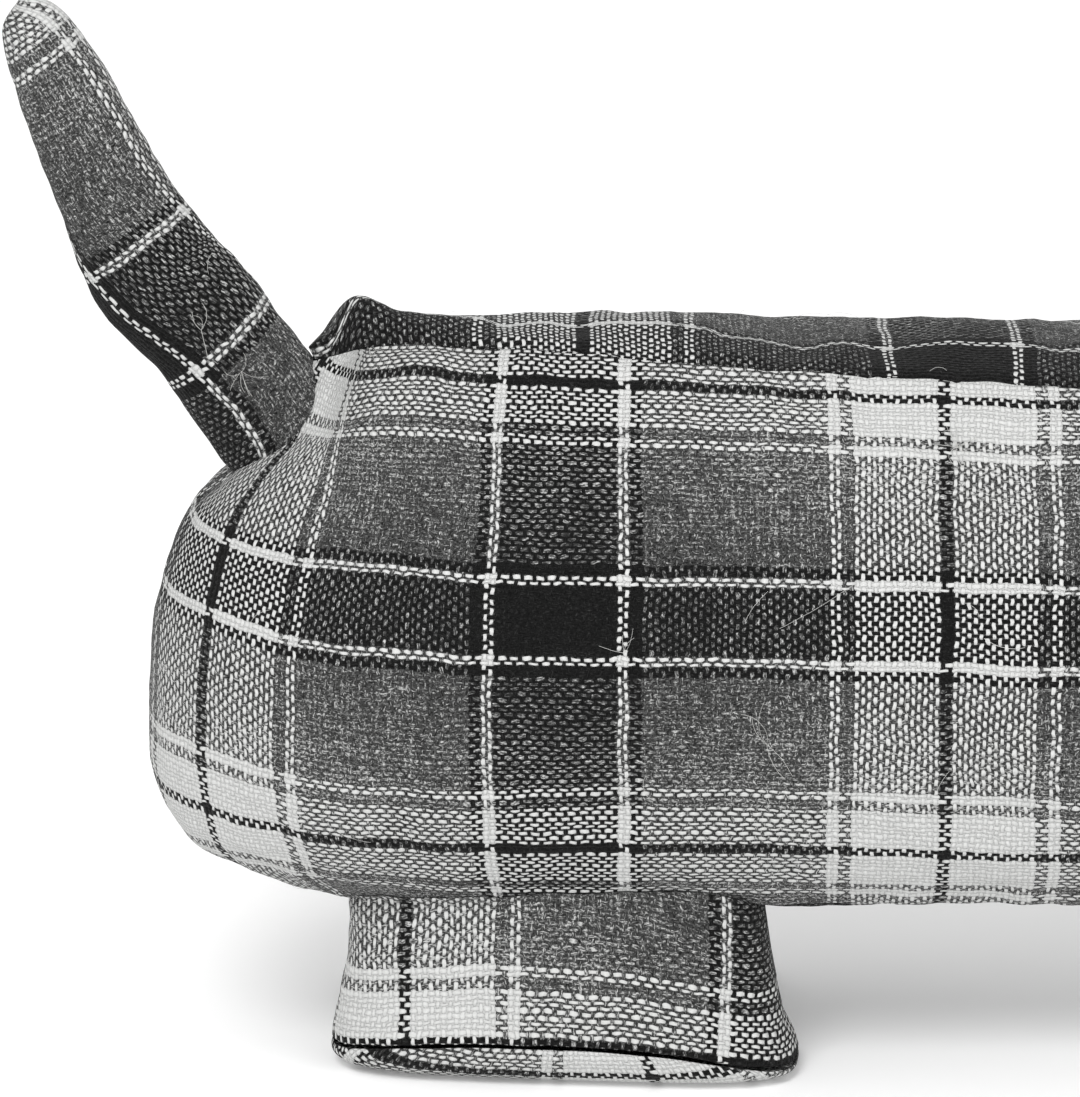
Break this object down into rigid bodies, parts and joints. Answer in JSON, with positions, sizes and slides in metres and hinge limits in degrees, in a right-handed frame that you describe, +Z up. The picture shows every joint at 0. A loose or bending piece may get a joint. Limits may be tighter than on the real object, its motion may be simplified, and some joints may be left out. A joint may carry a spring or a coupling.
{
  "type": "draught excluder",
  "caption": "Long filled draught excluder in checked woven cloth, shaped like a sausage dog with a raised tail, short stuffed feet, a plain head and ears.",
  "frame": {"origin": "on the floor, under the middle of the bounding box", "axes": "+X along the body towards the head, +Y across the body, +Z up"},
  "size_m": [0.8962, 0.118, 0.27],
  "materials": {
    "side_check": "chunky plain weave, grey, white and black check",
    "back_check": "chunky plain weave, mostly black and grey",
    "belly_check": "chunky plain weave, grey, white and black check",
    "tail_check": "chunky plain weave, grey with white pairs of lines",
    "foot_check": "chunky plain weave, grey and white check",
    "sole_check": "chunky plain weave, grey and white check",
    "head_check": "chunky plain weave, grey, white and black check",
    "ear_check": "chunky plain weave, mostly black and grey",
    "nose_cloth": "black plain weave",
    "eye_button": "black, polished"
  },
  "bodies": {
    "root": {"body": "side_check", "back_panel": "back_check", "belly_panel": "belly_check", "tail": "tail_check", "foot_rear_near": "foot_check", "foot_rear_far": "foot_check", "foot_front_near": "foot_check", "foot_front_far": "foot_check", "sole_rear_near": "sole_check", "sole_rear_far": "sole_check", "sole_front_near": "sole_check", "sole_front_far": "sole_check", "head": "head_check", "ear_near": "ear_check", "ear_far": "ear_check", "nose": "nose_cloth", "eye_near": "eye_button", "eye_far": "eye_button"}
  },
  "joints": []
}
